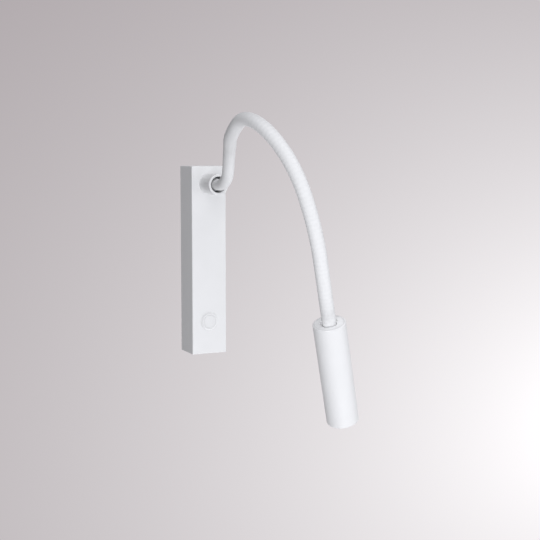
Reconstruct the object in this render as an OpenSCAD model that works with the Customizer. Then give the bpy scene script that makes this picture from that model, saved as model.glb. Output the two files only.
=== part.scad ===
// Wall lamp with a slim wall box, a ribbed flexible neck and a small round head.
// Millimetres. The origin is the middle of the box's wall face.
// X runs to the right, Y into the wall and Z up.

/* [Wall box] */
// Width of the wall box
box_w = 39; // [36:1:60]
// Depth of the wall box, from the wall to its front face
box_d = 32; // [30:1:50]
// Height of the wall box
box_h = 200; // [190:1:260]
// Thickness of the box's walls
box_wall = 2; // [1.5:0.1:3]
// Radius on the box's outer edges
box_edge_r = 1; // [0.4:0.1:1.5]
// Thickness of the steel wall bracket
plate_t = 1.5; // [1:0.1:2.5]
// Depth of the bracket's two screw tabs
tab_depth = 13; // [11:0.5:18]
// Diameter of the two wall screw holes
wall_hole_d = 4.5; // [3.5:0.5:6]
// Diameter of the cable's bore in its grommet
cable_d = 8; // [6:0.5:9]

/* [Collar] */
// Drop from the top of the box to the neck's axis
neck_drop = 19; // [17:0.5:26]
// Length of the collar on the box's front face
collar_len = 26; // [22:1:40]
// Thickness of the collar's wall
collar_wall = 2.5; // [1.5:0.1:4]
// Gap between the neck and the collar's bore
collar_gap = 2.5; // [2:0.1:5]

/* [Neck] */
// Outer diameter of the neck over its ribs
neck_d = 12; // [10:0.5:14]
// Diameter of the neck's bore
neck_bore_d = 5.2; // [4.6:0.1:6]
// Step from one rib to the next
rib_pitch = 3.8; // [2.5:0.1:5]
// Depth of the groove between two ribs
rib_depth = 0.3; // [0.2:0.1:1]
// Diameter of the lead inside the neck
lead_d = 3.8; // [2.5:0.1:4.2]
// Length of the first stretch of the neck
first_len = 42; // [30:3:60]
// Length of each later stretch of the neck
stretch_len = 57.5; // [45:2.5:90]

/* [Button] */
// Height of the button's axis above the bottom of the box
button_rise = 34.5; // [32:0.5:60]
// Diameter of the button's cap
button_d = 13.4; // [10:0.2:15]
// Diameter of the ring round the button
ring_d = 20; // [19:0.5:26]
// Height of the ring on the box's front face
ring_rise = 1; // [0.6:0.1:2]
// Travel of the button
button_travel = 1; // [0.5:0.1:1.3]

/* [Head] */
// Outer diameter of the head
head_d = 28; // [25:0.5:40]
// Length of the head
head_len = 96; // [86:1:140]
// Thickness of the head's tube
head_wall = 2; // [1:0.1:2.5]
// Gap between the neck and the hole in the head's rear
head_gap = 1.7; // [1.3:0.1:4]
// Depth of the head's rear cap inside the rear rim
rear_inset = 0.2; // [0.1:0.1:2]
// Depth of the lens inside the front rim
front_inset = 2; // [1:0.1:3]
// Number of fins on the heat sink
fin_count = 12; // [8:1:16]

/* [Fits] */
// Gap round a piece that slides or drops into another
fit = 0.3; // [0.2:0.05:0.4]
// Gap round a screw in its hole
screw_gap = 0.1; // [0.05:0.05:0.2]

/* [Hidden] */
$fn = 48;
// The neck's shape at rest: the bend of each stretch, in degrees, up or down and to the side
neck_lift = [45.5, -43.5, 10.5, 6, -60.5, -36.5, -23, 0.5];
neck_side = [16.5, 9.5, -1.5, -14.5, -23, -3.5, -7, 0.5];
neck_count = len(neck_lift);
neck_sides = 8;
neck_r = neck_d / 2;
bore_r = neck_bore_d / 2;
lead_r = lead_d / 2;

// Each stretch ends in a ball end, and the next begins with a seat round it
ball_proud = 1.5;
ball_r = neck_r + ball_proud;
seat_gap = 0.6;
seat_r = ball_r + seat_gap;

// Places on the box: out is the distance from the wall
inner_out = box_d - box_wall;
inner_w = box_w - 2 * box_wall;
inner_h = box_h - 2 * box_wall;
neck_z = box_h / 2 - neck_drop;
button_z = -box_h / 2 + button_rise;

// The bracket's holes and tabs
tab_w = 20;
tab_top = inner_h / 2 - fit;
cover_screw_out = plate_t + tab_depth * 0.6;
cover_screw_d = 3;
cover_screw_len = 7;
cover_head_d = 5.4;
cover_head_t = 1.4;
high_hole_drop = 20;
low_hole_rise = 11;
inlet_drop = 38;
wall_hole_high = neck_z - high_hole_drop;
wall_hole_low = -box_h / 2 + low_hole_rise;
inlet_z = neck_z - inlet_drop;
grommet_wall = 2;
grommet_lip = 1.5;
grommet_d = cable_d + 2 * grommet_wall;
grommet_flange_d = grommet_d + 2 * grommet_lip;
grommet_flange_t = 1.5;

// The neck's fixing to the box
collar_bore_d = neck_d + 2 * collar_gap;
collar_d = collar_bore_d + 2 * collar_wall;
collar_floor = 3;
collar_chamfer = 0.5;
floor_out = box_d + collar_floor;
mouth_out = box_d + collar_len;
ferrule_wall = 1;
shank_d = 10;
shank_play = 0.8;
shank_bore_d = lead_d + 2 * shank_play;
flange_t = 2.5;
barrel_len = 10;
barrel_d = neck_d + 2 * ferrule_wall;
barrel_play = 0.1;
barrel_bore_d = neck_d + 2 * barrel_play;
neck_root_out = floor_out + flange_t;
washer_t = 1;
washer_d = 16;
nut_t = 5;
nut_af = 14;
shank_past_nut = 2;
shank_end_out = inner_out - washer_t - nut_t - shank_past_nut;

// The terminals and the driver, on the bracket below the cable inlet
terminal = [24, 12, 16];
terminal_gap = 4.5;
terminal_z = inlet_z - grommet_flange_d / 2 - terminal_gap - terminal.z / 2;
terminal_pitch = 7.5;
terminal_well_d = 4.4;
terminal_entry = 4;
terminal_screw_d = 4;
driver = [26, 12, 30];
driver_edge_r = 1.5;
driver_flange = [16, 2, 6];
mains_wire_len = 8;
driver_top = terminal_z - terminal.z / 2 - mains_wire_len;
driver_bottom = driver_top - driver.z;
driver_screw_d = 3;
driver_head_d = 5.2;
driver_head_t = 1.8;
screw_short = 0.2;
earth_d = 4;
earth_head_d = 6;
earth_head_t = 2.2;
earth_gap = 1.5;
earth_x = grommet_flange_d / 2 + earth_gap + earth_head_d / 2;
wire_d = 2.2;
wire_play = 0.5;
wire_step = 6;
wire_turn_r = 4;
wire_end_drop = 4;
lead_turn_r = 3;
lead_run = 1;
wire_out = plate_t + terminal.y / 2;

// The switch behind the button
board = [24, 1.6, 34];
boss_d = 6;
boss_step = 12.5;
boss_hole = 6;
boss_spare = 1;
board_screw_d = 2;
board_head_d = 4;
board_head_t = 1.6;
ring_wall = 1.2;
ring_edge = 0.2;
ring_slope = 1.6;
ring_bore_d = button_d + 2 * fit;
ring_spigot_d = ring_bore_d + 2 * ring_wall;
button_lip = 1.8;
button_flange_d = button_d + 2 * button_lip;
button_flange_t = 1.2;
button_dimple_r = 40;
button_dimple = 0.3;
button_chamfer = 0.4;
stem_d = 5;
stem_len = 3;
face_rise = 0.3;
face_out = box_d + ring_rise + face_rise;
flange_out = inner_out - fit;
stem_out = flange_out - button_flange_t;
plunger_out = stem_out - stem_len;
plunger_d = 3.4;
plunger_reach = 0.8;
over_travel = 0.5;
switch_floor = 1.3;
switch_w = 6;
switch_out = plunger_out - button_travel - over_travel;
plunger_end_out = switch_out - plunger_reach;
switch_hole = plunger_reach + button_travel + over_travel;
switch_body = [switch_w, switch_hole + switch_floor, switch_w];
board_out = switch_out - switch_body.y;
board_back_out = board_out - board.y;
board_top = button_z + board.z / 2;

// The head's inside, from the rear rim forward
head_r = head_d / 2;
head_bore_d = head_d - 2 * head_wall;
head_slide = 0.1;
inside_d = head_bore_d - 2 * head_slide;
rim_chamfer = min(1, head_wall / 2);
hole_chamfer = 0.4;
rear_hole_d = neck_d + 2 * head_gap;
rear_lip_d = neck_d + 2 * fit;
rear_recess = 2;
rear_lip_t = 2;
rear_bore_end = 20;
rear_floor = 4;
rear_cap_end = rear_bore_end + rear_floor;
neck_end = rear_bore_end - flange_t;
head_nut_end = rear_cap_end + nut_t;
head_shank_past_nut = 1;
head_shank_end = head_nut_end + head_shank_past_nut;
lead_room = 8;
lead_gap = 0.4;
lead_short = 0.2;

// The lens and lamp, from the front rim backward
bezel_t = 4;
bezel_z = head_len - front_inset - bezel_t;
bezel_lip = 1.6;
lens_flange_t = 2;
lens_len = 15;
lens_tip_d = 9;
lens_tip_wall = 1.2;
lens_z = bezel_z - lens_flange_t - lens_len;
emitter_t = 1.2;
emitter_w = 5;
led_board_t = 1.6;
emitter_gap = 0.4;
led_board_z = lens_z - emitter_t - emitter_gap - led_board_t;
led_screw_d = 2;
led_head_d = 3.6;
led_head_t = 1.2;
holder_wall = 1.4;
led_screw_r = inside_d / 2 - holder_wall - led_head_d / 2 - fit;
sink_plate_t = 4;
sink_hole_floor = 1;
sink_core_d = 9;
sink_bore_d = lead_d + shank_play;
fin_t = 1.2;
sink_rear = head_shank_end + lead_room;

white = [0.93, 0.93, 0.92];
shade = [0.86, 0.87, 0.88];
steel = [0.72, 0.73, 0.75];
dark = [0.22, 0.22, 0.24];

// Names of the neck's stretches and of the leads inside them
neck_names = [for (i = [0:neck_count]) str("neck_", i)];
lead_names = [for (i = [0:neck_count]) str("lead_", i)];

// Frames: a 4 x 4 matrix whose third column points along the neck
function shift(v) = [[1, 0, 0, v.x], [0, 1, 0, v.y], [0, 0, 1, v.z], [0, 0, 0, 1]];
function turn_y(a) = [[cos(a), 0, sin(a), 0], [0, 1, 0, 0], [-sin(a), 0, cos(a), 0], [0, 0, 0, 1]];
function turn_z(a) = [[cos(a), -sin(a), 0, 0], [sin(a), cos(a), 0, 0], [0, 0, 1, 0], [0, 0, 0, 1]];

// Step of length s along an arc of length l that bends by lift and side over its whole length
function arc_step(s, l, lift, side) =
    let (bend = norm([lift, side]), way = atan2(side, lift), a = bend * s / l)
    bend < 0.01 ? shift([0, 0, s]) :
    let (r = l * 180 / (PI * bend), out = r * (1 - cos(a)))
    shift([out * cos(way), out * sin(way), r * sin(a)]) * turn_z(way) * turn_y(a) * turn_z(-way);

function stretch(i) = i == 1 ? first_len : stretch_len;

// The frame of each joint: joint 1 is in the collar's mouth, the last one is the head's rear
first_joint = [[0, -1, 0, 0], [0, 0, -1, -mouth_out], [1, 0, 0, neck_z], [0, 0, 0, 1]];
function next_joint(m, i) =
    m * arc_step(stretch(i), stretch(i), neck_lift[i - 1], neck_side[i - 1]);
joints = [for (i = 1, m = first_joint; i <= neck_count + 1;
               m = i <= neck_count ? next_joint(m, i) : m, i = i + 1) m];
head_frame = joints[neck_count];

// The frame at s along stretch i. Next to a joint it runs straight out of the joint's own frame
function frame_at(i, s) =
    i == 0 ? first_joint * shift([0, 0, s]) :
    s < ball_r + 1 ? joints[i - 1] * shift([0, 0, s]) :
    s > stretch(i) ? joints[i] * shift([0, 0, s - stretch(i)]) :
    joints[i - 1] * arc_step(s, stretch(i), neck_lift[i - 1], neck_side[i - 1]);

// One ring of points of radius r round the frame m
function ring(m, r) =
    [for (k = [0:neck_sides - 1])
        let (a = 360 * k / neck_sides, p = m * [r * cos(a), r * sin(a), 0, 1]) [p.x, p.y, p.z]];

// Triangles that join ring a to ring b
function band(a, b) =
    [for (k = [0:neck_sides - 1], t = [0, 1])
        let (n = (k + 1) % neck_sides, p = a * neck_sides, q = b * neck_sides)
        t == 0 ? [p + k, q + k, q + n] : [p + k, q + n, p + n]];

// Where the ball's or the seat's sphere of radius s reaches the radius r
function on_ball(s, r) = sqrt(s * s - r * r);

// A tube whose profile of [place, radius] pairs is a closed loop along stretch i
module bored_tube(i, profile) {
    n = len(profile);
    polyhedron([for (p = profile) each ring(frame_at(i, p[0]), p[1])],
               [for (k = [0:n - 1]) each band(k, (k + 1) % n)]);
}

// A plain round lead through a list of frames
module lead_tube(frames, r) {
    n = len(frames);
    points = [for (m = frames) each ring(m, r)];
    first = [for (k = [1:neck_sides - 2]) [0, k, k + 1]];
    last = [for (k = [1:neck_sides - 2]) (n - 1) * neck_sides * [1, 1, 1] + [0, k + 1, k]];
    polyhedron(points, concat(first, last, [for (k = [0:n - 2]) each band(k, k + 1)]));
}

// Where stretch i starts and ends along its own length
function neck_start(i) = i == 0 ? neck_root_out - mouth_out : 0;
function neck_stop(i) = i == 0 ? 0 : i == neck_count ? stretch(i) + neck_end : stretch(i);

// Ribs: a crest and a groove at each step between the two ends
function ribs(from, to) =
    [for (s = [from:rib_pitch:to])
        each [[s + rib_pitch / 2, neck_r - rib_depth], [s + rib_pitch, neck_r]]];

// A stretch of the ribbed neck
module neck(i) {
    plain_start = i == 0;
    plain_end = i == neck_count;
    start = neck_start(i);
    stop = neck_stop(i);
    rib_from = plain_start ? start + rib_pitch * 4 : ceil(on_ball(seat_r, neck_r) / rib_pitch) * rib_pitch;
    rib_to = plain_end ? stretch(i) - rib_pitch : stop;
    mouth = plain_start ? [[start, bore_r], [start, neck_r], [rib_from, neck_r]] :
        [[on_ball(seat_r, bore_r), bore_r], [on_ball(seat_r, neck_r), neck_r]];
    tail = plain_end ? [[stop, neck_r], [stop, bore_r]] :
        [[stop + on_ball(ball_r, neck_r), neck_r],
         [stop + on_ball(ball_r, (neck_r + bore_r) / 2), (neck_r + bore_r) / 2],
         [stop + on_ball(ball_r, bore_r), bore_r]];
    bore = [for (s = [stop:-rib_pitch * 4:mouth[0][0] + rib_pitch]) [s, bore_r]];
    color(white)
    bored_tube(i, concat(mouth, ribs(rib_from, rib_to), tail, bore));
}

// The lead inside a stretch, which ends inside the ball and starts clear of the seat
module lead(i) {
    from = i == 0 ? shank_end_out - mouth_out : on_ball(seat_r, bore_r) + lead_gap;
    end = i == neck_count ? stretch(i) + led_board_z : neck_stop(i) + on_ball(ball_r, lead_r);
    to = end - lead_short;
    mid = [for (s = [ceil(from / rib_pitch + 1):4:floor(to / rib_pitch - 1)]) s * rib_pitch];
    color(dark)
    lead_tube([for (s = concat([from], mid, [to])) frame_at(i, s)], lead_r);
}

// Places a piece that is drawn along Z so that Z points out of the wall, at height z
module facing_out(z) {
    translate([0, 0, z])
    rotate([90, 0, 0])
    children();
}

// A rectangle with round corners
module soft_rect(w, h, r) {
    square([w - 2 * r, h], center = true);
    square([w, h - 2 * r], center = true);
    for (x = [-1, 1], y = [-1, 1])
        translate([x * (w / 2 - r), y * (h / 2 - r)])
        circle(r);
}

// A round piece from its outline of [radius, place] points
module turned(points) {
    rotate_extrude()
    polygon(points);
}

// A ring or a tube
module tube(d, bore, h) {
    difference() {
        cylinder(d = d, h = h);
        translate([0, 0, -1])
        cylinder(d = bore, h = h + 2);
    }
}

// A screw with a flat head above Z = 0 and its shank below
module flat_screw(d, head_d, head_t, length) {
    cylinder(d = head_d, h = head_t);
    translate([0, 0, -length])
    cylinder(d = d, h = length);
}

// A hexagon nut
module hex_nut(af, t, bore) {
    difference() {
        cylinder(d = af / cos(30), h = t, $fn = 6);
        translate([0, 0, -1])
        cylinder(d = bore, h = t + 2);
    }
}

// A threaded ferrule: shank below Z = 0, then its flange and the barrel that grips the neck
module ferrule(shank, flange_d) {
    difference() {
        union() {
            translate([0, 0, -shank])
            cylinder(d = shank_d, h = shank);
            cylinder(d = flange_d, h = flange_t);
            cylinder(d = barrel_d, h = flange_t + barrel_len);
        }
        translate([0, 0, flange_t])
        cylinder(d = barrel_bore_d, h = barrel_len + 1);
        translate([0, 0, -shank - 1])
        cylinder(d = shank_bore_d, h = shank + flange_t + 2);
    }
}

// The outer block of the wall box, with its front edges rounded
module box_block() {
    intersection() {
        linear_extrude(box_h, center = true)
        soft_rect(box_w, 2 * box_d, box_edge_r);
        rotate([90, 0, 90])
        linear_extrude(box_w, center = true)
        soft_rect(2 * box_d, box_h, box_edge_r);
        rotate([90, 0, 0])
        linear_extrude(box_d)
        soft_rect(box_w, box_h, box_edge_r);
    }
}

// A countersunk screw whose head is flush at Z = 0
module sunk_screw(gap) {
    translate([0, 0, -cover_head_t])
    cylinder(d1 = cover_screw_d + 2 * gap, d2 = cover_head_d + 2 * gap, h = cover_head_t);
    translate([0, 0, -cover_screw_len])
    cylinder(d = cover_screw_d + 2 * gap, h = cover_screw_len);
}

// Places a cover screw at the top and at the bottom of the box
module at_cover_screws() {
    for (k = [0, 1])
        mirror([0, 0, k])
        translate([0, -cover_screw_out, box_h / 2])
        children();
}

// Places a piece on each of the board's two bosses
module at_bosses() {
    for (k = [-1, 1])
        facing_out(button_z + k * boss_step)
        children();
}

// The wall box, open at the wall
module housing() {
    color(white)
    difference() {
        union() {
            difference() {
                box_block();
                translate([-inner_w / 2, -inner_out, -inner_h / 2])
                cube([inner_w, inner_out + 1, inner_h]);
            }
            at_bosses()
            translate([0, 0, board_out])
            cylinder(d = boss_d, h = box_d - board_out - box_wall / 2);
        }
        facing_out(neck_z)
        translate([0, 0, inner_out - 1])
        cylinder(d = shank_d + 2 * fit, h = box_wall + 2);
        facing_out(button_z)
        translate([0, 0, inner_out - 1])
        cylinder(d = ring_spigot_d + 2 * screw_gap, h = box_wall + 2);
        at_bosses()
        translate([0, 0, board_out - 1])
        cylinder(d = board_screw_d + 2 * screw_gap, h = boss_hole + 1);
        at_cover_screws()
        sunk_screw(screw_gap);
    }
}

// The steel bracket behind the box, with a screw tab at each end
module wall_bracket() {
    color(steel)
    difference() {
        union() {
            translate([-inner_w / 2 + fit, -plate_t, -tab_top])
            cube([inner_w - 2 * fit, plate_t, 2 * tab_top]);
            for (k = [0, 1])
                mirror([0, 0, k])
                translate([-tab_w / 2, -plate_t - tab_depth, tab_top - plate_t])
                cube([tab_w, plate_t + tab_depth, plate_t]);
        }
        for (z = [wall_hole_high, wall_hole_low])
            facing_out(z)
            translate([0, 0, -1])
            cylinder(d = wall_hole_d, h = plate_t + 2);
        facing_out(inlet_z)
        translate([0, 0, -1])
        cylinder(d = grommet_d + 2 * screw_gap, h = plate_t + 2);
        at_driver_screws()
        translate([0, 0, -1])
        cylinder(d = driver_screw_d + 2 * screw_gap, h = plate_t + 2);
        facing_out(inlet_z)
        translate([earth_x, 0, -1])
        cylinder(d = earth_d + 2 * screw_gap, h = plate_t + 2);
        at_cover_screws()
        sunk_screw(screw_gap);
    }
}

// The rubber bush that the supply cable comes through
module cable_grommet() {
    color(dark)
    facing_out(inlet_z)
    difference() {
        union() {
            cylinder(d = grommet_d, h = plate_t);
            translate([0, 0, plate_t])
            cylinder(d = grommet_flange_d, h = grommet_flange_t);
        }
        translate([0, 0, -1])
        cylinder(d = cable_d, h = plate_t + grommet_flange_t + 2);
    }
}

// The two screws that hold the box on its bracket
module cover_screws() {
    color(steel)
    at_cover_screws()
    sunk_screw(0);
}

// The round cup on the front face that the neck comes out of
module neck_collar() {
    r = collar_d / 2;
    bore = collar_bore_d / 2;
    hole = shank_d / 2 + fit;
    c = collar_chamfer;
    color(white)
    facing_out(neck_z)
    turned([[hole, box_d], [r, box_d], [r, mouth_out - c], [r - c, mouth_out],
            [bore + c, mouth_out], [bore, mouth_out - c], [bore, floor_out], [hole, floor_out]]);
}

// The ferrule at the neck's root
module base_ferrule() {
    color(steel)
    facing_out(neck_z)
    translate([0, 0, floor_out])
    ferrule(floor_out - shank_end_out, collar_bore_d - 2 * fit);
}

// The washer inside the box
module lock_washer() {
    color(steel)
    facing_out(neck_z)
    translate([0, 0, inner_out - washer_t])
    tube(washer_d, shank_d + 2 * screw_gap, washer_t);
}

// The nut that clamps the ferrule, the collar and the box together
module lock_nut() {
    color(steel)
    facing_out(neck_z)
    translate([0, 0, inner_out - washer_t - nut_t])
    hex_nut(nut_af, nut_t, shank_d + 2 * screw_gap);
}

// Places a piece at each of the driver's two flanges
module at_driver_screws() {
    for (z = [driver_top + driver_flange.z / 2, driver_bottom - driver_flange.z / 2])
        facing_out(z)
        children();
}

// The driver that feeds the lamp
module led_driver() {
    color(white)
    difference() {
        union() {
            facing_out((driver_top + driver_bottom) / 2)
            translate([0, 0, plate_t])
            linear_extrude(driver.y)
            soft_rect(driver.x, driver.z, driver_edge_r);
            translate([-driver_flange.x / 2, -plate_t - driver_flange.y, driver_bottom - driver_flange.z])
            cube([driver_flange.x, driver_flange.y, driver.z + 2 * driver_flange.z]);
        }
        at_driver_screws()
        cylinder(d = driver_screw_d + 2 * screw_gap, h = plate_t + driver_flange.y + 1);
    }
}

// The driver's two screws
module driver_screws() {
    color(steel)
    at_driver_screws()
    translate([0, 0, plate_t + driver_flange.y])
    flat_screw(driver_screw_d, driver_head_d, driver_head_t, driver_flange.y + plate_t - screw_short);
}

// Places a piece at each of the three terminals
module at_terminals() {
    for (k = [-1:1])
        facing_out(terminal_z)
        translate([k * terminal_pitch, 0, 0])
        children();
}

// The block where the supply cable is joined
module terminal_block() {
    color(shade)
    difference() {
        translate([-terminal.x / 2, -plate_t - terminal.y, terminal_z - terminal.z / 2])
        cube(terminal);
        at_terminals()
        translate([0, 0, plate_t + terminal.y / 2])
        cylinder(d = terminal_well_d, h = terminal.y);
        at_terminals()
        translate([0, terminal.z / 2 - terminal_entry, plate_t + terminal.y / 2])
        rotate([-90, 0, 0])
        cylinder(d = wire_d + 2 * wire_play, h = terminal.z);
    }
}

// The three screws in the terminal block
module terminal_screws() {
    color(steel)
    at_terminals()
    translate([0, 0, plate_t + terminal.y / 2])
    cylinder(d = terminal_screw_d, h = terminal.y / 3);
}

// The earth screw on the bracket
module earth_screw() {
    color(steel)
    facing_out(inlet_z)
    translate([earth_x, 0, plate_t])
    flat_screw(earth_d, earth_head_d, earth_head_t, plate_t - screw_short);
}

// The small board behind the button
module control_board() {
    color([0.16, 0.36, 0.24])
    difference() {
        translate([-board.x / 2, -board_out, button_z - board.z / 2])
        cube(board);
        at_bosses()
        translate([0, 0, board_back_out - 1])
        cylinder(d = board_screw_d + 2 * screw_gap, h = board.y + 2);
    }
}

// The board's two screws, from behind
module board_screws() {
    color(steel)
    at_bosses()
    translate([0, 0, board_back_out])
    mirror([0, 0, 1])
    flat_screw(board_screw_d, board_head_d, board_head_t, board.y + boss_hole - boss_spare);
}

// The switch on the board
module tact_switch() {
    color(dark)
    difference() {
        translate([-switch_body.x / 2, -switch_out, button_z - switch_body.z / 2])
        cube(switch_body);
        facing_out(button_z)
        translate([0, 0, switch_out - switch_hole])
        cylinder(d = plunger_d + 2 * fit, h = switch_hole + 1);
    }
}

// The two wires from the terminals to the driver
module mains_leads() {
    color([0.45, 0.28, 0.18])
    for (x = [-wire_step, wire_step])
        translate([x, -wire_out, driver_top])
        cylinder(d = wire_d, h = terminal_z - terminal.z / 2 - driver_top);
}

// A straight lead that runs down from the top, turns out of the wall and runs on
module turned_lead(d, drop, turn_r, run) {
    translate([0, 0, -drop])
    cylinder(d = d, h = drop);
    translate([0, -turn_r, -drop])
    rotate([90, 0, 90])
    rotate_extrude(angle = -90)
    translate([turn_r, 0])
    circle(d = d);
    translate([0, -turn_r, -drop - turn_r])
    rotate([90, 0, 0])
    cylinder(d = d, h = run);
}

// The two wires from the driver to the back of the board
module driver_leads() {
    end_z = board_top - wire_end_drop;
    color([0.7, 0.2, 0.18])
    for (x = [-wire_step, wire_step])
        translate([x, -wire_out, driver_bottom])
        turned_lead(wire_d, driver_bottom - end_z - wire_turn_r, wire_turn_r,
                    board_back_out - wire_out - wire_turn_r);
}

// The lead from the top of the board to the neck's own lead
module lamp_lead() {
    color(dark)
    translate([0, -shank_end_out + lead_run + lead_turn_r, board_top])
    mirror([0, 0, 1])
    turned_lead(lead_d, neck_z - lead_turn_r - board_top, lead_turn_r, lead_run);
}

// The ring round the button, with a spigot through the box's front wall
module button_ring() {
    r = ring_d / 2;
    bore = ring_bore_d / 2;
    spigot = ring_spigot_d / 2;
    top = box_d + ring_rise;
    color(white)
    facing_out(button_z)
    turned([[bore, inner_out], [spigot, inner_out], [spigot, box_d], [r, box_d],
            [r, box_d + ring_edge], [r - ring_slope, top], [bore, top]]);
}

// The button's cap, with its flange and stem
module button_cap() {
    c = button_chamfer;
    r = button_d / 2;
    color(white)
    facing_out(button_z)
    difference() {
        turned([[0, plunger_out], [stem_d / 2, plunger_out], [stem_d / 2, stem_out],
                [button_flange_d / 2, stem_out], [button_flange_d / 2, flange_out],
                [r, flange_out], [r, face_out - c], [r - c, face_out], [0, face_out]]);
        translate([0, 0, face_out - button_dimple + button_dimple_r])
        sphere(button_dimple_r);
    }
}

// The plunger that the button's stem presses into the switch
module switch_plunger() {
    color(dark)
    facing_out(button_z)
    translate([0, 0, plunger_end_out])
    cylinder(d = plunger_d, h = plunger_out - plunger_end_out);
}

// Places a piece in the head: Z runs from the rear rim to the front
module in_head(z) {
    multmatrix(head_frame * shift([0, 0, z]))
    children();
}

// The head's outer tube
module head_shell() {
    c = rim_chamfer;
    r = head_r;
    bore = head_bore_d / 2;
    color(white)
    in_head(0)
    turned([[bore + c / 2, 0], [r - c, 0], [r, c], [r, head_len - c], [r - c, head_len],
            [bore + c / 2, head_len], [bore, head_len - c / 2], [bore, c / 2]]);
}

// The cup in the head's rear that the neck goes into
module head_rear_cap() {
    r = inside_d / 2;
    hole = rear_hole_d / 2;
    lip = rear_lip_d / 2;
    lip_start = rear_inset + rear_recess;
    lip_end = lip_start + rear_lip_t;
    shank_hole = shank_d / 2 + screw_gap;
    c = hole_chamfer;
    color(white)
    in_head(0)
    turned([[hole + c, rear_inset], [r, rear_inset], [r, rear_cap_end], [shank_hole, rear_cap_end],
            [shank_hole, rear_bore_end], [hole, rear_bore_end], [hole, lip_end], [lip, lip_end],
            [lip, lip_start], [hole, lip_start], [hole, rear_inset + c]]);
}

// The ferrule at the neck's head end
module head_ferrule() {
    color(steel)
    in_head(rear_bore_end)
    mirror([0, 0, 1])
    ferrule(head_shank_end - rear_bore_end, rear_hole_d - 2 * fit);
}

// The nut inside the head
module head_nut() {
    color(steel)
    in_head(rear_cap_end)
    hex_nut(nut_af, nut_t, shank_d + 2 * screw_gap);
}

// The finned heat sink behind the lamp
module heat_sink() {
    color(steel)
    in_head(sink_rear)
    difference() {
        union() {
            linear_extrude(led_board_z - sink_rear)
            union() {
                circle(d = sink_core_d);
                intersection() {
                    circle(d = inside_d);
                    for (k = [0:fin_count - 1])
                        rotate(360 * k / fin_count)
                        translate([0, -fin_t / 2])
                        square([inside_d, fin_t]);
                }
            }
            translate([0, 0, led_board_z - sink_rear - sink_plate_t])
            cylinder(d = inside_d, h = sink_plate_t);
        }
        translate([0, 0, -1])
        cylinder(d = sink_bore_d, h = head_len);
        at_led_screws(led_board_z - sink_rear - sink_plate_t + sink_hole_floor)
        cylinder(d = led_screw_d + 2 * screw_gap, h = sink_plate_t);
    }
}

// Places a piece at each of the lamp board's two screws
module at_led_screws(z) {
    for (x = [-led_screw_r, led_screw_r])
        translate([x, 0, z])
        children();
}

// The board that carries the lamp
module led_board() {
    color(white)
    in_head(led_board_z)
    difference() {
        cylinder(d = inside_d, h = led_board_t);
        at_led_screws(-1)
        cylinder(d = led_screw_d + 2 * screw_gap, h = led_board_t + 2);
    }
}

// The lamp board's two screws
module led_screws() {
    color(steel)
    in_head(led_board_z + led_board_t)
    at_led_screws(0)
    flat_screw(led_screw_d, led_head_d, led_head_t,
               led_board_t + sink_plate_t - sink_hole_floor - screw_short);
}

// The lamp itself
module led_emitter() {
    color([0.95, 0.85, 0.35])
    in_head(led_board_z + led_board_t)
    translate([-emitter_w / 2, -emitter_w / 2, 0])
    cube([emitter_w, emitter_w, emitter_t]);
}

// The clear lens in front of the lamp
module lens() {
    tip = lens_tip_d / 2;
    flare = inside_d / 2 - holder_wall - fit;
    rim = inside_d / 2;
    well = tip - lens_tip_wall;
    color([0.85, 0.9, 0.95])
    in_head(lens_z)
    turned([[well, 0], [tip, 0], [flare, lens_len], [rim, lens_len], [rim, lens_len + lens_flange_t],
            [0, lens_len + lens_flange_t], [0, lens_len / 3], [well, lens_len / 4]]);
}

// The ring that holds the lens off the lamp board
module lens_holder() {
    from = led_board_z + led_board_t;
    color(dark)
    in_head(from)
    tube(inside_d, inside_d - 2 * holder_wall, lens_z + lens_len - from);
}

// The ring that keeps the lens in
module front_bezel() {
    r = inside_d / 2;
    color(shade)
    in_head(bezel_z)
    turned([[r - 2 * bezel_lip, 0], [r, 0], [r, bezel_t], [r - bezel_lip, bezel_t]]);
}

housing();
wall_bracket();
cable_grommet();
cover_screws();
neck_collar();
base_ferrule();
lock_washer();
lock_nut();
led_driver();
driver_screws();
terminal_block();
terminal_screws();
earth_screw();
control_board();
board_screws();
tact_switch();
mains_leads();
driver_leads();
lamp_lead();
button_ring();
button_cap();
switch_plunger();
for (i = [0:neck_count]) neck(i);
for (i = [0:neck_count]) lead(i);
head_shell();
head_rear_cap();
head_ferrule();
head_nut();
heat_sink();
led_board();
led_screws();
led_emitter();
lens();
lens_holder();
front_bezel();
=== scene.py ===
"""Looks for the wall lamp: a white wall box, a ribbed flexible neck and a small round head.

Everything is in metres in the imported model's own frame: the origin is the middle of the box's wall
face, X runs to the right, Y into the wall and Z up. Sizes are written in millimetres and scaled by MM.
"""

import math

import bmesh
import bpy
import numpy as np
from mathutils import Matrix, Vector


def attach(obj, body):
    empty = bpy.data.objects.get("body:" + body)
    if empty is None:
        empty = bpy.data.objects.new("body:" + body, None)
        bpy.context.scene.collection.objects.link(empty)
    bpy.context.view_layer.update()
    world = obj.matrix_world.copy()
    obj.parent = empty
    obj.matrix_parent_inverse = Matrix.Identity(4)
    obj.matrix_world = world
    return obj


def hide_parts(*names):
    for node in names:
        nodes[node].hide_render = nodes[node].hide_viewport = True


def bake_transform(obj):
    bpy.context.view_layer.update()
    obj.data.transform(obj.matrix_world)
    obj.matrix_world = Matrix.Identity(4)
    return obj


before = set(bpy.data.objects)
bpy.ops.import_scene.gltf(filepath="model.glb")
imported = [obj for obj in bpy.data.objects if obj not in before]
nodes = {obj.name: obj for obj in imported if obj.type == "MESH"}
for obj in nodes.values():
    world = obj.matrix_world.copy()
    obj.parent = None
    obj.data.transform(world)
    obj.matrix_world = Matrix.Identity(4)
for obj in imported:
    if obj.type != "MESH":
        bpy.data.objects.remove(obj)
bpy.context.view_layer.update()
scene = bpy.context.scene

MM = 0.001

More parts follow.
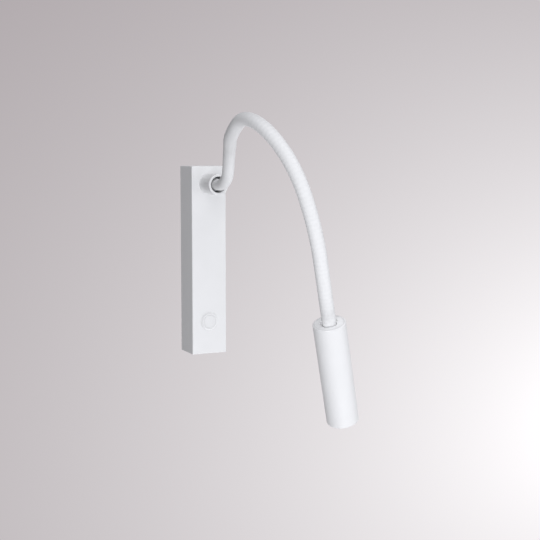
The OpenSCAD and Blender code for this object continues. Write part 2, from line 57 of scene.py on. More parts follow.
# The wall box and what stands on its front, in millimetres; "out" is the distance from the wall
BOX_H = 200.0
BOX_OUT = 32.0
INNER_OUT = 30.0
NECK_Z = 81.0
BUTTON_Z = -65.5
MOUTH_OUT = 58.0
COLLAR_R = 11.0
COLLAR_BORE_R = 8.5
COLLAR_HOLE_R = 5.3
COLLAR_FLOOR_OUT = 35.0

# The neck: the bend of each stretch in degrees, up or down and to the side, and its length
NECK_LIFT = (45.5, -43.5, 10.5, 6, -60.5, -36.5, -23, 0.5)
NECK_SIDE = (16.5, 9.5, -1.5, -14.5, -23, -3.5, -7, 0.5)
NECK_LEN = (42.0, 57.5, 57.5, 57.5, 57.5, 57.5, 57.5, 57.5)

# The neck's sleeve: where it starts in the collar and ends in the head, and its ribs
NECK_R = 6.0
NECK_BORE_R = 2.6
NECK_ROOT = -20.5
NECK_TAIL = 17.5
RIB_PITCH = 3.8
RIB_DEPTH = 0.085
GROOVE_POWER = 1.5
RIB_ROWS = 12
NECK_STEPS = 48

# The button, from its stem to its face with a shallow dimple
STEM_R = 2.5
PLUNGER_OUT = 25.5
STEM_OUT = 28.5
FLANGE_R = 8.5
FLANGE_OUT = 29.7
BUTTON_R = 6.8
BUTTON_FACE_OUT = 33.1
BUTTON_DIMPLE = 0.3
DIMPLE_EDGE_R = 4.9
DIMPLE_SLOPE_R = 2.4
DIMPLE_SLOPE_SHARE = 0.75

# The ring round the button, with a fine seam near its rim
RING_R = 10.0
RING_BORE_R = 6.92
RING_SPIGOT_R = 8.2
RING_OUT = 33.0
RING_LIP = 0.25
RING_SEAM = 0.5
RING_SEAM_FLOOR = 0.03
RING_SLOPE = 1.7

# The screws in the box's top and bottom
SCREW_OUT = 9.3
SCREW_R = 1.5
SCREW_LEN = 7.0
SCREW_TIP_R = 1.05
SCREW_TIP_LEN = 0.5
SCREW_HEAD_R = 2.7
SCREW_HEAD_T = 1.4
SCREW_HEAD_EDGE = 0.08
SCREW_HEAD_BEVEL = 0.06
SCREW_CROSS = 1.45
SCREW_SLOT = 0.85
SCREW_RECESS = 0.9
SCREW_RECESS_TAPER = 0.55
SCREW_RECESS_POINT = 0.25

# The head, from its rear rim forward
HEAD_R = 14.0
HEAD_BORE_R = 12.0
HEAD_INSIDE_R = 11.97
HEAD_LEN = 96.0
REAR_INSET = 0.05
REAR_HOLE_R = 7.7
REAR_LIP_R = 6.3
REAR_LIP_START = 1.2
REAR_LIP_END = 4.2
REAR_BORE_END = 20.0
REAR_CAP_END = 24.0
SHANK_HOLE_R = 5.1
BEZEL_Z = 90.0
BEZEL_T = 4.0
BEZEL_REAR_W = 3.2
BEZEL_FRONT_W = 1.6

# Meshes: points round a turned piece and on a fillet, the share of a side that a fillet may take up, the
# guard points beside it, the sharpest angle in degrees that is shaded smooth, and the reach of a merge
ROUND_STEPS = 96
HEAD_STEPS = 128
FILLET_STEPS = 6
FILLET_SHARE = 0.49
GUARD = 0.12
GUARD_LEAST = 0.01
CREASE = 35
MERGE = 1e-7


# Frames along the neck

def turn(axis, degrees):
    """4 x 4 turn about one of the axes X, Y or Z."""
    return np.array(Matrix.Rotation(math.radians(degrees), 4, axis))


def bend_frames(s, length, lift, side):
    """Frames at the places s along one arc: it leaves along its own Z and bends by lift towards X and
    by side towards Y over its length, at one even radius. A frame is a 4 x 4 with Z along the arc."""
    bend = math.radians(math.hypot(lift, side))
    way = math.degrees(math.atan2(side, lift))
    a = bend * np.asarray(s, float) / length
    radius = length / bend
    arc = np.zeros((a.size, 4, 4))
    arc[:, 0, 0], arc[:, 0, 2] = np.cos(a), np.sin(a)
    arc[:, 2, 0], arc[:, 2, 2] = -np.sin(a), np.cos(a)
    arc[:, 1, 1] = arc[:, 3, 3] = 1.0
    arc[:, 0, 3] = radius * (1 - np.cos(a))
    arc[:, 2, 3] = radius * np.sin(a)
    return turn("Z", way) @ arc @ turn("Z", -way)


def straight_frames(s):
    """Frames at the places s along a straight line that runs along Z."""
    line = np.tile(np.eye(4), (np.size(s), 1, 1))
    line[:, 2, 3] = s
    return line


def facing_out(z):
    """Frame on the box's axis at height z, with its Z pointing out of the wall and its Y up."""
    return np.array([[1, 0, 0, 0], [0, 0, -1, 0], [0, 1, 0, z], [0, 0, 0, 1.0]])


# The joints: the first is in the collar's mouth, and the last frame is the head's rear
NECK_START = np.array([[0, -1, 0, 0], [0, 0, -1, -MOUTH_OUT], [1, 0, 0, NECK_Z], [0, 0, 0, 1.0]])
joint_frames = [NECK_START]
joint_places = [0.0]
for length, lift, side in zip(NECK_LEN, NECK_LIFT, NECK_SIDE):
    joint_frames.append(joint_frames[-1] @ bend_frames([length], length, lift, side)[0])
    joint_places.append(joint_places[-1] + length)
HEAD = joint_frames[-1]


def neck_frames(s):
    """Frames at the places s along the whole neck: straight in the collar, then each stretch's arc in
    turn, then straight again inside the head."""
    s = np.asarray(s, float)
    made = np.zeros((s.size, 4, 4))
    root, tail = s <= 0, s > joint_places[-1]
    made[root] = NECK_START @ straight_frames(s[root])
    made[tail] = HEAD @ straight_frames(s[tail] - joint_places[-1])
    for i, (length, lift, side) in enumerate(zip(NECK_LEN, NECK_LIFT, NECK_SIDE)):
        here = (s > joint_places[i]) & (s <= joint_places[i + 1])
        made[here] = joint_frames[i] @ bend_frames(s[here] - joint_places[i], length, lift, side)
    return made


# Meshes

def surface(name, points, closed=True):
    """Piece from a grid of points in millimetres. The columns run round and close on themselves. The rows
    close too, or else start and end in a pole, whose points are merged to one."""
    rows, cols = points.shape[:2]
    i, j = np.meshgrid(np.arange(rows if closed else rows - 1), np.arange(cols), indexing="ij")
    k, m = (i + 1) % rows, (j + 1) % cols
    quads = np.stack([i * cols + j, i * cols + m, k * cols + m, k * cols + j], -1).reshape(-1, 4)
    mesh = bpy.data.meshes.new(name)
    mesh.from_pydata((points.reshape(-1, 3) * MM).tolist(), [], quads.tolist())
    work = bmesh.new()
    work.from_mesh(mesh)
    if not closed:
        bmesh.ops.remove_doubles(work, verts=work.verts, dist=MERGE)
    bmesh.ops.recalc_face_normals(work, faces=work.faces)
    work.to_mesh(mesh)
    work.free()
    mesh.shade_smooth()
    mesh.set_sharp_from_angle(angle=math.radians(CREASE))
    piece = bpy.data.objects.new(name, mesh)
    scene.collection.objects.link(piece)
    return piece


def rounded(corners, closed=True):
    """Outline through corners of (radius, place, fillet). Each corner becomes an arc that touches both
    sides, of its fillet's radius or less where a side is short, and a guard point beside each arc keeps
    the straight side's shading flat. The two ends of an open outline stay as they are."""
    c = np.array(corners, float)
    made = []
    for n, (p, fillet) in enumerate(zip(c[:, :2], c[:, 2])):
        if (not closed and n in (0, len(c) - 1)) or fillet <= 0:
            made.append(p[None])
            continue
        back, ahead = c[n - 1, :2] - p, c[(n + 1) % len(c), :2] - p
        room = FILLET_SHARE * min(np.linalg.norm(back), np.linalg.norm(ahead))
        back, ahead = back / np.linalg.norm(back), ahead / np.linalg.norm(ahead)
        half = math.acos(np.clip(back @ ahead, -1, 1)) / 2
        reach = min(fillet / math.tan(half), room)
        radius = reach * math.tan(half)
        mid = (back + ahead) / np.linalg.norm(back + ahead)
        centre = p + mid * radius / math.sin(half)
        first, last = p + back * reach - centre, p + ahead * reach - centre
        sweep = math.pi - 2 * half
        t = np.linspace(0, 1, FILLET_STEPS + 1)[:, None]
        arc = centre + (first * np.sin((1 - t) * sweep) + last * np.sin(t * sweep)) / math.sin(sweep)
        edge = min(GUARD, room - reach)
        if edge > GUARD_LEAST:
            arc = np.vstack([p + back * (reach + edge), arc, p + ahead * (reach + edge)])
        made.append(arc)
    return np.vstack(made)


def spun(outline, place, steps=ROUND_STEPS, share=1.0):
    """Grid of points of an outline of (radius, place) pairs spun round the Z axis of the frame place:
    x = radius cos a, y = radius sin a, z = place along the axis. share scales the radius by row and
    angle, for a piece that isn't round all over."""
    a = np.arange(steps) * 2 * math.pi / steps
    radius = outline[:, :1] * share
    local = np.stack(
        [
            radius * np.cos(a),
            radius * np.sin(a),
            np.repeat(outline[:, 1:], steps, 1),
            np.ones((len(outline), steps)),
        ],
        -1,
    )
    return (local @ place.T)[..., :3]


def dress(piece, body, material, slot, *stands_for):
    """Gives a new piece its finish, hides the nodes that it stands for, and attaches it to its body if
    one is given. slot is not used."""
    piece.data.materials.append(material)
    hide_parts(*stands_for)
    if body:
        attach(piece, body)


# Finishes: the reach in which most of a noise lies, and how far a gloss drifts

NOISE_REACH = (0.3, 0.7)
GLOSS_DRIFT = 0.05


def shader(name):
    """New material with its node tree and its principled shader."""
    material = bpy.data.materials.new(name)
    material.use_nodes = True
    tree = material.node_tree
    return material, tree, tree.nodes["Principled BSDF"]


def math_node(tree, operation, *values):
    """Value of a math step on numbers or sockets."""
    node = tree.nodes.new("ShaderNodeMath")
    node.operation = operation
    for socket, value in zip(node.inputs, values):
        if isinstance(value, (int, float)):
            socket.default_value = value
        else:
            tree.links.new(value, socket)
    return node.outputs["Value"]


def noise(tree, scale, detail=2.0, stretch=(1, 1, 1)):
    """Noise on Object coordinates: scale is in cycles per metre, and stretch pulls it along an axis."""
    place = tree.nodes.new("ShaderNodeTexCoord")
    mapping = tree.nodes.new("ShaderNodeMapping")
    mapping.inputs["Scale"].default_value = stretch
    texture = tree.nodes.new("ShaderNodeTexNoise")
    texture.inputs["Scale"].default_value = scale
    texture.inputs["Detail"].default_value = detail
    tree.links.new(place.outputs["Object"], mapping.inputs["Vector"])
    tree.links.new(mapping.outputs["Vector"], texture.inputs["Vector"])
    return texture.outputs["Fac"]


def spread(tree, value, low, high, usual=NOISE_REACH):
    """Carries a value from its usual reach, by default that of noise, to the reach low to high."""
    node = tree.nodes.new("ShaderNodeMapRange")
    node.inputs["From Min"].default_value = usual[0]
    node.inputs["From Max"].default_value = usual[1]
    node.inputs["To Min"].default_value = low
    node.inputs["To Max"].default_value = high
    tree.links.new(value, node.inputs["Value"])
    return node.outputs["Result"]


def two_tones(tree, share, dark, light):
    """Colour between two tones by a share from 0 to 1."""
    node = tree.nodes.new("ShaderNodeMix")
    node.data_type = "RGBA"
    node.inputs["A"].default_value = (*dark, 1)
    node.inputs["B"].default_value = (*light, 1)
    tree.links.new(share, node.inputs["Factor"])
    return node.outputs["Result"]


def grain_bump(tree, bsdf, height, depth, strength):
    """Bump from a height value: depth is in metres."""
    node = tree.nodes.new("ShaderNodeBump")
    node.inputs["Distance"].default_value = depth
    node.inputs["Strength"].default_value = strength
    tree.links.new(height, node.inputs["Height"])
    tree.links.new(node.outputs["Normal"], bsdf.inputs["Normal"])


def finish(name, tone, rough, drift=0.03, grain=1500.0, depth=0.00002, strength=0.3, metal=0.0,
           stretch=(1, 1, 1), patch=35.0):
    """A finish whose tone drifts a little over a few centimetres, with gloss that drifts over a third of
    that and a fine grain as bump. patch and grain are in cycles per metre, and depth is in metres."""
    material, tree, bsdf = shader(name)
    bsdf.inputs["Metallic"].default_value = metal
    share = spread(tree, noise(tree, patch, detail=3.0), 0.0, 1.0)
    dark = [v * (1 - drift) for v in tone]
    light = [min(1.0, v * (1 + drift)) for v in tone]
    tree.links.new(two_tones(tree, share, dark, light), bsdf.inputs["Base Color"])
    gloss = spread(tree, noise(tree, patch * 3), rough - GLOSS_DRIFT, rough + GLOSS_DRIFT)
    tree.links.new(gloss, bsdf.inputs["Roughness"])
    grain_bump(tree, bsdf, noise(tree, grain, stretch=stretch), depth, strength)
    return material


def galvanised(name, tone, crystals, drift, rough):
    """Zinc-coated sheet: a spangle of so many crystals per metre. The tone of each is within the shares
    drift of the sheet's tone, and its roughness is in the reach rough."""
    material, tree, bsdf = shader(name)
    bsdf.inputs["Metallic"].default_value = 1.0
    place = tree.nodes.new("ShaderNodeTexCoord")
    cells = tree.nodes.new("ShaderNodeTexVoronoi")
    cells.inputs["Scale"].default_value = crystals
    crystal = tree.nodes.new("ShaderNodeSeparateColor")
    tree.links.new(place.outputs["Object"], cells.inputs["Vector"])
    tree.links.new(cells.outputs["Color"], crystal.inputs["Color"])
    gloss = spread(tree, crystal.outputs["Green"], *rough, usual=(0, 1))
    tree.links.new(gloss, bsdf.inputs["Roughness"])
    dark, light = [[v * share for v in tone] for share in drift]
    tree.links.new(two_tones(tree, crystal.outputs["Red"], dark, light), bsdf.inputs["Base Color"])
    grain_bump(tree, bsdf, noise(tree, scale=900.0), depth=0.00001, strength=0.3)
    return material


def neck_finish(name, tone, groove_shade_tone):
    """The neck's matt sleeve, with painted shade in its grooves: their colour is darker by the mesh's own
    groove value, more in some patches than in others.
    """
    material, tree, bsdf = shader(name)
    bsdf.inputs["Specular IOR Level"].default_value = 0.35
    groove = tree.nodes.new("ShaderNodeAttribute")
    groove.attribute_name = "groove"
    patches = spread(tree, noise(tree, scale=60.0, detail=3.0), low=0.6, high=1.0)
    # painted shade: the grooves are darkened to stand in for the shade that falls in them
    groove_shade = math_node(tree, "MULTIPLY", groove.outputs["Fac"], patches)
    tree.links.new(two_tones(tree, groove_shade, tone, groove_shade_tone), bsdf.inputs["Base Color"])
    gloss = spread(tree, noise(tree, scale=90.0), low=0.5, high=0.62)
    tree.links.new(gloss, bsdf.inputs["Roughness"])
    grain_bump(tree, bsdf, noise(tree, scale=3000.0), depth=0.00001, strength=0.25)
    return material


WHITE = (0.82, 0.82, 0.82)
box_coat = finish("box_coat", WHITE, 0.42, drift=0.012, grain=1400, depth=0.00003, strength=0.25)
head_coat = finish("head_coat", WHITE, 0.42, drift=0.012, grain=1400, depth=0.00003, strength=0.25)
# painted light: the head's rear cap is a brighter white than the head's coat, to lift its shading
lit_cap_white = finish("lit_cap_white", (0.92, 0.92, 0.92), 0.45, drift=0.012, grain=2200, depth=0.00002,
                   strength=0.25)
# the second tone is the painted shade in the neck's grooves
sleeve_white = neck_finish("sleeve_white", WHITE, (0.80, 0.80, 0.80))
button_white = finish("button_white", (0.80, 0.80, 0.80), 0.5, drift=0.015, grain=2600, depth=0.00001)
bezel_white = finish("bezel_white", (0.78, 0.78, 0.79), 0.35, drift=0.015, grain=2200, depth=0.00001)
zinc_steel = finish("zinc_steel", (0.60, 0.61, 0.63), 0.34, drift=0.07, grain=900, depth=0.00001,
                    metal=1.0, stretch=(1, 1, 0.12))
zinc_sheet = galvanised("zinc_sheet", (0.66, 0.67, 0.69), crystals=260.0, drift=(0.9, 1.06),
                        rough=(0.26, 0.46))
bare_aluminium = finish("bare_aluminium", (0.72, 0.73, 0.74), 0.3, drift=0.04, grain=1200, depth=0.00001,
                        metal=1.0, stretch=(0.1, 1, 1))
driver_case = finish("driver_case", (0.74, 0.74, 0.72), 0.5, drift=0.02, grain=1800)
terminal_grey = finish("terminal_grey", (0.48, 0.49, 0.50), 0.45, drift=0.03, grain=1800)
board_green = finish("board_green", (0.03, 0.13, 0.06), 0.35, drift=0.25, grain=700, patch=240)
lamp_board = finish("lamp_board", (0.78, 0.78, 0.76), 0.3, drift=0.02, grain=1500)
dark_plastic = finish("dark_plastic", (0.018, 0.018, 0.02), 0.45, drift=0.1, grain=2000)
black_rubber = finish("black_rubber", (0.022, 0.022, 0.023), 0.7, drift=0.15, grain=1600, depth=0.00004)
brown_wire = finish("brown_wire", (0.10, 0.045, 0.02), 0.42, drift=0.06, grain=2000)
red_wire = finish("red_wire", (0.32, 0.012, 0.012), 0.42, drift=0.06, grain=2000)
black_lead = finish("black_lead", (0.02, 0.02, 0.022), 0.5, drift=0.1, grain=2000)
phosphor = finish("phosphor", (0.80, 0.62, 0.10), 0.4, drift=0.06, grain=3000)
lens_clear = finish("lens_clear", (0.95, 0.97, 0.98), 0.08, drift=0.005, grain=2600, depth=0.000002)
lens_shader = lens_clear.node_tree.nodes["Principled BSDF"]
lens_shader.inputs["Transmission Weight"].default_value = 0.9
lens_shader.inputs["IOR"].default_value = 1.49

NODE_FINISH = {
    box_coat: ("housing", "neck_collar"),
    head_coat: ("head_shell",),
    lit_cap_white: ("head_rear_cap",),
    button_white: ("button_cap", "button_ring"),
    bezel_white: ("front_bezel",),
    zinc_sheet: ("wall_bracket",),
    zinc_steel: ("cover_screws", "base_ferrule", "lock_washer", "lock_nut",
                 "driver_screws", "terminal_screws", "earth_screw", "board_screws", "head_ferrule",
                 "head_nut", "led_screws"),
    bare_aluminium: ("heat_sink",),
    driver_case: ("led_driver",),
    terminal_grey: ("terminal_block",),
    board_green: ("control_board",),
    lamp_board: ("led_board",),
    dark_plastic: ("tact_switch", "switch_plunger", "lens_holder"),
    black_rubber: ("cable_grommet",),
    brown_wire: ("mains_leads",),
    red_wire: ("driver_leads",),
    black_lead: ("lamp_lead",) + tuple(f"lead_{i}" for i in range(len(NECK_LEN) + 1)),
    sleeve_white: tuple(f"neck_{i}" for i in range(len(NECK_LEN) + 1)),
    phosphor: ("led_emitter",),
    lens_clear: ("lens",),
}
for material, names in NODE_FINISH.items():
    for name in names:
        nodes[name].data.materials.clear()
        nodes[name].data.materials.append(material)


# The neck's sleeve: one piece for each joint, from the middle of one stretch to the middle of the next

def groove_at(s):
    """How deep in a groove the place s is, from 0 on a rib to 1: a cosine along the neck, raised to a
    power so that the grooves are a little narrower than the ribs."""
    return (0.5 + 0.5 * np.cos(2 * math.pi * (s / RIB_PITCH - 0.5))) ** GROOVE_POWER


def sleeve_piece(name, start, stop):
    """Ribbed tube from start to stop along the neck: the outer wall's radius is the neck's less the
    groove's depth, and a plain bore runs back inside it, so that the tube is closed."""
    out = np.linspace(start, stop, int(round((stop - start) / RIB_PITCH * RIB_ROWS)) + 1)
    back = np.linspace(stop, start, int(round((stop - start) / RIB_PITCH)) + 1)
    groove = np.concatenate([groove_at(out), np.zeros(back.size)])
    radius = np.concatenate([NECK_R - RIB_DEPTH * groove_at(out), np.full(back.size, NECK_BORE_R)])
    line = neck_frames(np.concatenate([out, back]))
    a = np.arange(NECK_STEPS) * 2 * math.pi / NECK_STEPS
    ring = np.cos(a)[:, None] * line[:, None, :3, 0] + np.sin(a)[:, None] * line[:, None, :3, 1]
    piece = surface(name, line[:, None, :3, 3] + radius[:, None, None] * ring)
    value = piece.data.attributes.new("groove", "FLOAT", "POINT")
    value.data.foreach_set("value", np.repeat(groove, NECK_STEPS).astype(np.float32))
    return piece


def in_groove(s):
    """The groove nearest to the place s."""
    return (math.floor(s / RIB_PITCH) + 0.5) * RIB_PITCH


ends = [NECK_ROOT]
for i in range(1, len(NECK_LEN)):
    ends.append(in_groove((joint_places[i - 1] + joint_places[i]) / 2))
ends.append(joint_places[-1] + NECK_TAIL)
for i in range(len(NECK_LEN)):
    sleeve = sleeve_piece(f"neck_sleeve_{i + 1}", ends[i], ends[i + 1])
    stands_for = ["neck_0", "neck_1"] if i == 0 else [f"neck_{i + 1}"]
    dress(sleeve, None, sleeve_white, "neck_white", *stands_for)
    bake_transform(sleeve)

# The collar on the box's front, and the button with its ring
collar = rounded(
    [
        (COLLAR_HOLE_R, BOX_OUT, 0),
        (COLLAR_R, BOX_OUT, 0),
        (COLLAR_R, MOUTH_OUT, 0.7),
        (COLLAR_BORE_R, MOUTH_OUT, 0.5),
        (COLLAR_BORE_R, COLLAR_FLOOR_OUT, 0.4),
        (COLLAR_HOLE_R, COLLAR_FLOOR_OUT, 0),
    ]
)
dress(surface("collar_cup", spun(collar, facing_out(NECK_Z))), "wall_unit", box_coat, "box_white",
      "neck_collar")

ring = rounded(
    [
        (RING_BORE_R, INNER_OUT, 0),
        (RING_SPIGOT_R, INNER_OUT, 0),
        (RING_SPIGOT_R, BOX_OUT, 0),
        (RING_R, BOX_OUT, 0),
        (RING_R, BOX_OUT + RING_LIP, 0.1),
        (RING_R - RING_SEAM / 2, BOX_OUT + RING_LIP, 0.05),
        (RING_R - RING_SEAM, BOX_OUT + RING_SEAM_FLOOR, 0.03),
        (RING_R - 1.5 * RING_SEAM, BOX_OUT + RING_LIP, 0.05),
        (RING_R - RING_SLOPE, RING_OUT, 0.6),
        (RING_BORE_R, RING_OUT, 0.15),
    ]
)
dress(surface("button_surround", spun(ring, facing_out(BUTTON_Z))), "wall_unit", button_white,
      "button_white", "button_ring")

cap = rounded(
    [
        (0, PLUNGER_OUT, 0),
        (STEM_R, PLUNGER_OUT, 0.2),
        (STEM_R, STEM_OUT, 0),
        (FLANGE_R, STEM_OUT, 0.2),
        (FLANGE_R, FLANGE_OUT, 0.2),
        (BUTTON_R, FLANGE_OUT, 0),
        (BUTTON_R, BUTTON_FACE_OUT, 0.25),
        (DIMPLE_EDGE_R, BUTTON_FACE_OUT, 1.5),
        (DIMPLE_SLOPE_R, BUTTON_FACE_OUT - DIMPLE_SLOPE_SHARE * BUTTON_DIMPLE, 2.0),
        (0, BUTTON_FACE_OUT - BUTTON_DIMPLE, 0),
    ],
    closed=False,
)
dress(surface("button_face", spun(cap, facing_out(BUTTON_Z)), closed=False), "button", button_white,
      "button_white", "button_cap")


# The two countersunk screws that hold the box on its bracket, in the top and the bottom

def cross_reach(steps, arm, width):
    """Radius at each angle of a cross with four arms of the given length and width: the nearer of the
    arm's end and the arm's side, with the angle taken from the nearest arm and its sine kept off zero."""
    a = np.arange(steps) * 2 * math.pi / steps
    off = np.abs((a + math.pi / 4) % (math.pi / 2) - math.pi / 4)
    return np.minimum(arm / np.cos(off), width / 2 / np.maximum(np.sin(off), 1e-6))


def sunk_screw(place):
    """Points of a countersunk screw with a cross recess, whose head is flush at Z = 0 of the frame
    place. Rows run from the tip up the shank and the cone, over the flat head and down into the recess,
    where the radius is a share of the cross's reach."""
    outline = np.array(
        [
            (0, -SCREW_LEN),
            (SCREW_TIP_R, -SCREW_LEN),
            (SCREW_R, -SCREW_LEN + SCREW_TIP_LEN),
            (SCREW_R, -SCREW_HEAD_T),
            (SCREW_HEAD_R, -SCREW_HEAD_EDGE),
            (SCREW_HEAD_R - SCREW_HEAD_BEVEL, 0),
            (1, 0),
            (SCREW_RECESS_TAPER, -SCREW_RECESS),
            (0, -SCREW_RECESS - SCREW_RECESS_POINT),
        ]
    )
    share = np.ones((len(outline), ROUND_STEPS))
    share[-3:-1] = cross_reach(ROUND_STEPS, SCREW_CROSS, SCREW_SLOT)
    return spun(outline, place, share=share)


for name, up in (("cover_screw_top", 1), ("cover_screw_low", -1)):
    seat = np.diag([1.0, up, up, 1.0])
    seat[:3, 3] = (0, -SCREW_OUT, up * BOX_H / 2)
    screw = surface(name, sunk_screw(seat), closed=False)
    dress(screw, "wall_unit", zinc_steel, "steel", "cover_screws")

# The head: its tube, the cup in its rear and the ring in its front
tube = rounded(
    [
        (HEAD_BORE_R, 0, 0.05),
        (HEAD_R, 0, 1.6),
        (HEAD_R, HEAD_LEN, 1.0),
        (HEAD_BORE_R, HEAD_LEN, 0.3),
    ]
)
dress(surface("head_tube", spun(tube, HEAD, HEAD_STEPS)), "head", head_coat, "head_white", "head_shell")

cup = rounded(
    [
        (REAR_HOLE_R, REAR_INSET, 0.5),
        (HEAD_INSIDE_R, REAR_INSET, 0.05),
        (HEAD_INSIDE_R, REAR_CAP_END, 0.2),
        (SHANK_HOLE_R, REAR_CAP_END, 0),
        (SHANK_HOLE_R, REAR_BORE_END, 0),
        (REAR_HOLE_R, REAR_BORE_END, 0),
        (REAR_HOLE_R, REAR_LIP_END, 0),
        (REAR_LIP_R, REAR_LIP_END, 0),
        (REAR_LIP_R, REAR_LIP_START, 0.2),
        (REAR_HOLE_R, REAR_LIP_START, 0.3),
    ]
)
dress(surface("head_cup", spun(cup, HEAD)), "head", lit_cap_white, "head_white", "head_rear_cap")

bezel = rounded(
    [
        (HEAD_INSIDE_R - BEZEL_REAR_W, BEZEL_Z, 0.2),
        (HEAD_INSIDE_R, BEZEL_Z, 0),
        (HEAD_INSIDE_R, BEZEL_Z + BEZEL_T, 0.3),
        (HEAD_INSIDE_R - BEZEL_FRONT_W, BEZEL_Z + BEZEL_T, 0.3),
    ]
)
dress(surface("lens_ring", spun(bezel, HEAD)), "head", bezel_white, "bezel_white", "front_bezel")


# The camera, from the photograph's viewpoint: its place, its turns in degrees and its lens

CAMERA_AT = (-451.9, -1099.9, 112.7)
CAMERA_YAW = 26.128
CAMERA_PITCH = 6.052
CAMERA_ROLL = 0.092
CAMERA_LENS = 72.99
CAMERA_SENSOR = 36.0
CAMERA_CLIP = (0.05, 50.0)

view = bpy.data.cameras.new("photo_view")
view.sensor_width = CAMERA_SENSOR
view.lens = CAMERA_LENS
view.clip_start, view.clip_end = CAMERA_CLIP
camera = bpy.data.objects.new("photo_view", view)
scene.collection.objects.link(camera)
camera.matrix_world = (
    Matrix.Translation(Vector(CAMERA_AT) * MM)
    @ Matrix.Rotation(math.radians(-CAMERA_YAW), 4, "Z")
    @ Matrix.Rotation(math.radians(90 - CAMERA_PITCH), 4, "X")
    @ Matrix.Rotation(math.radians(CAMERA_ROLL), 4, "Z")
)
scene.camera = camera


# The stage: a plain wall that is seen only from the room, and a pale floor far below, in metres

WALL_Y = 0.0006
WALL_TOP = 2.0
FLOOR_Z = -1.2
FLOOR_FRONT = -4.0
STAGE_REACH = 3.0


def stage_plane(name, first, last, material):
    """Flat backdrop that reaches as far to the left as to the right, between its first and last edges,
    each at its Y and Z. It is there to be seen and isn't used as a lamp."""
    corners = [(-STAGE_REACH, *first), (STAGE_REACH, *first), (STAGE_REACH, *last), (-STAGE_REACH, *last)]
    mesh = bpy.data.meshes.new(name)
    mesh.from_pydata(corners, [], [(0, 1, 2, 3)])
    plane = bpy.data.objects.new(name, mesh)
    material.cycles.emission_sampling = "NONE"
    plane.data.materials.append(material)
    plane.visible_shadow = False
    plane.visible_diffuse = False
    scene.collection.objects.link(plane)


def seen_directly(tree):
    """Value that is 1 for camera, glossy and transmission rays, and 0 for all others."""
    rays = tree.nodes.new("ShaderNodeLightPath").outputs
    mirrored = math_node(tree, "MAXIMUM", rays["Is Glossy Ray"], rays["Is Transmission Ray"])
    return math_node(tree, "MAXIMUM", mirrored, rays["Is Camera Ray"])


def light_pool(name, dark, light, centre, squash, reach):
    """Glow of a wall under a soft pool of light: bright at the centre, which is given by its X and Z, and
    falling off with the square of what is left of the reach. squash shortens the pool upright. The wall
    is clear from behind."""
    material = bpy.data.materials.new(name)
    material.use_nodes = True
    tree = material.node_tree
    tree.nodes.clear()
    place = tree.nodes.new("ShaderNodeTexCoord")
    mapping = tree.nodes.new("ShaderNodeMapping")
    mapping.vector_type = "TEXTURE"
    mapping.inputs["Location"].default_value = (centre[0], 0, centre[1])
    mapping.inputs["Scale"].default_value = (1, 1, 1 / squash)
    away = tree.nodes.new("ShaderNodeVectorMath")
    away.operation = "LENGTH"
    glow = tree.nodes.new("ShaderNodeEmission")
    clear = tree.nodes.new("ShaderNodeBsdfTransparent")
    side = tree.nodes.new("ShaderNodeNewGeometry")
    pick = tree.nodes.new("ShaderNodeMixShader")
    out = tree.nodes.new("ShaderNodeOutputMaterial")
    link = tree.links.new
    link(place.outputs["Object"], mapping.inputs["Vector"])
    link(mapping.outputs["Vector"], away.inputs[0])
    left = spread(tree, away.outputs["Value"], 0.0, 1.0, usual=(reach, 0))
    share = math_node(tree, "MULTIPLY", left, left)
    link(two_tones(tree, share, dark, light), glow.inputs["Color"])
    link(side.outputs["Backfacing"], pick.inputs["Fac"])
    link(glow.outputs["Emission"], pick.inputs[1])
    link(clear.outputs["BSDF"], pick.inputs[2])
    link(pick.outputs["Shader"], out.inputs["Surface"])
    return material


def pale_ground(name, tone, backdrop):
    """A pale floor that takes the object's shadow, with a glow of the strength backdrop for the camera,
    gloss and glass."""
    material = finish(name, tone, rough=0.7, drift=0.02, grain=400)
    tree = material.node_tree
    glow = tree.nodes.new("ShaderNodeEmission")
    glow.inputs["Color"].default_value = (*tone, 1)
    both = tree.nodes.new("ShaderNodeAddShader")
    tree.links.new(math_node(tree, "MULTIPLY", seen_directly(tree), backdrop), glow.inputs["Strength"])
    tree.links.new(tree.nodes["Principled BSDF"].outputs["BSDF"], both.inputs[0])
    tree.links.new(glow.outputs["Emission"], both.inputs[1])
    tree.links.new(both.outputs["Shader"], tree.nodes["Material Output"].inputs["Surface"])
    return material


wall_glow = light_pool(
    "wall_glow",
    dark=(0.355, 0.315, 0.33),
    light=(1.155, 1.135, 1.15),
    centre=(0.617, -0.239),
    squash=1.45,
    reach=1.69,
)
floor_pale = pale_ground("floor_pale", (0.75, 0.74, 0.74), backdrop=0.4)
stage_plane("wall", (WALL_Y, FLOOR_Z), (WALL_Y, WALL_TOP), wall_glow)
stage_plane("floor", (FLOOR_FRONT, FLOOR_Z), (WALL_Y, FLOOR_Z), floor_pale)


# Light: soft panels below, high in front and near the head, and a sky with soft lobes from the front, the
# right, above and behind, each with its direction and strength; places are in metres

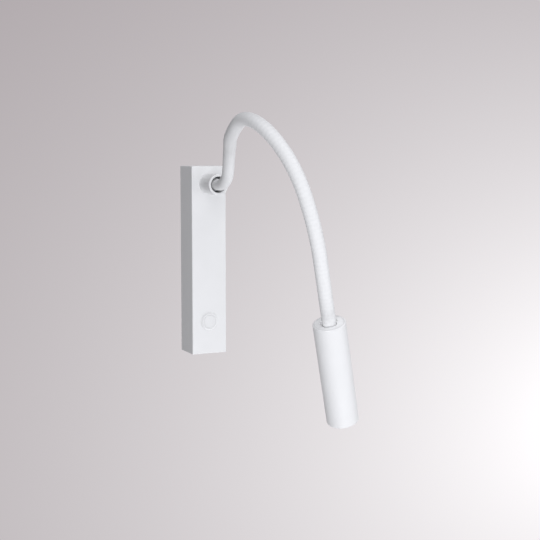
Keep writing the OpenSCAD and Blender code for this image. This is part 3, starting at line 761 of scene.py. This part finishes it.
LIGHT_TINT = (0.953, 0.962, 1.0)
MIDDLE = (0.0, -0.15, 0.0)
HEAD_PLACE = (0.05, -0.33, -0.08)
SKY_LIGHT = 0.115
SKY_BACKDROP = 0.6
LOBE_POWER = 8.0
SKY_LOBES = (
    ((0.1, -1.85, 0.0), 0.57),
    ((1.5, -0.65, 0.0), 2.02),
    ((0.2, -0.35, 1.5), 2.08),
    ((0.6, 1.4, 0.3), 0.7),
)


def panel(name, place, aim, size, watts):
    """Square soft light at place, turned to aim."""
    light = bpy.data.lights.new(name, "AREA")
    light.shape = "SQUARE"
    light.size = size
    light.energy = watts
    light.color = LIGHT_TINT
    lamp = bpy.data.objects.new(name, light)
    scene.collection.objects.link(lamp)
    lamp.location = place
    lamp.rotation_mode = "QUATERNION"
    lamp.rotation_quaternion = (Vector(aim) - Vector(place)).to_track_quat("-Z", "Y")


def studio_sky(name, even, lobes, power, backdrop):
    """Soft light from all round: an even part, and lobes of (direction, strength) that fall off with the
    angle to their direction, as its cosine raised to a power. backdrop is the pale grey that the camera,
    gloss and glass see instead."""
    world = bpy.data.worlds.new(name)
    world.use_nodes = True
    tree = world.node_tree
    way = tree.nodes.new("ShaderNodeTexCoord").outputs["Generated"]
    level = even
    for towards, strength in lobes:
        facing = tree.nodes.new("ShaderNodeVectorMath")
        facing.operation = "DOT_PRODUCT"
        facing.inputs[1].default_value = Vector(towards).normalized()
        tree.links.new(way, facing.inputs[0])
        front = math_node(tree, "MAXIMUM", facing.outputs["Value"], 0.0)
        soft = math_node(tree, "POWER", front, power)
        level = math_node(tree, "MULTIPLY_ADD", soft, strength, level)
    pick = tree.nodes.new("ShaderNodeMix")
    tree.links.new(seen_directly(tree), pick.inputs["Factor"])
    tree.links.new(level, pick.inputs["A"])
    pick.inputs["B"].default_value = backdrop
    light = tree.nodes["Background"]
    light.inputs["Color"].default_value = (*LIGHT_TINT, 1)
    tree.links.new(pick.outputs["Result"], light.inputs["Strength"])
    return world


panel("panel_below", (0.2, -0.5, -1.5), aim=MIDDLE, size=1.0, watts=13.2)
panel("panel_front_high", (-0.7, -1.6, 1.0), aim=MIDDLE, size=1.0, watts=8.4)
panel("panel_left", (-0.5, -0.85, -0.15), aim=HEAD_PLACE, size=0.4, watts=3.1)
scene.world = studio_sky("studio_sky", SKY_LIGHT, SKY_LOBES, LOBE_POWER, SKY_BACKDROP)

scene.view_settings.view_transform = "Standard"
